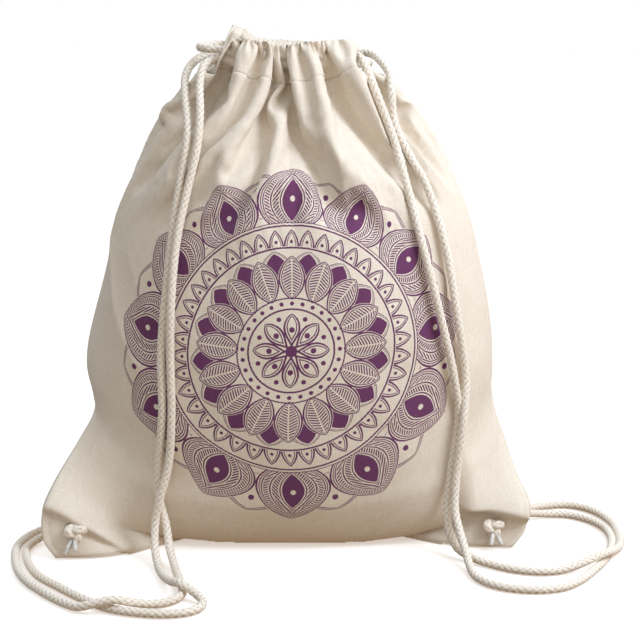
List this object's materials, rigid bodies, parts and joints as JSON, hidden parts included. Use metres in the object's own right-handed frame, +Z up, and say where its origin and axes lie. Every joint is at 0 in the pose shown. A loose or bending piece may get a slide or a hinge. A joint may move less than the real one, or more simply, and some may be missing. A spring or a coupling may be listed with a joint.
{
  "type": "drawstring gym sack",
  "caption": "Cotton drawstring gym sack standing stuffed, with a gathered tunnel mouth and plaited cords that run to knotted holes in the lower corners.",
  "frame": {"origin": "on the surface that the sack stands on, under the middle of the sack", "axes": "+Z up, front of the sack towards -Y, +X to the right of someone who looks at the front"},
  "size_m": [0.461, 0.2889, 0.3831],
  "materials": {
    "cotton": "plain-weave unbleached cotton, matte, with a dark purple print on the front",
    "cord": "round plaited cotton cord, matte"
  },
  "bodies": {
    "root": {"front_panel": "cotton", "back_panel": "cotton", "front_casing": "cotton", "back_casing": "cotton", "left_cord": "cord", "right_cord": "cord", "left_knot": "cord", "right_knot": "cord"}
  },
  "joints": []
}
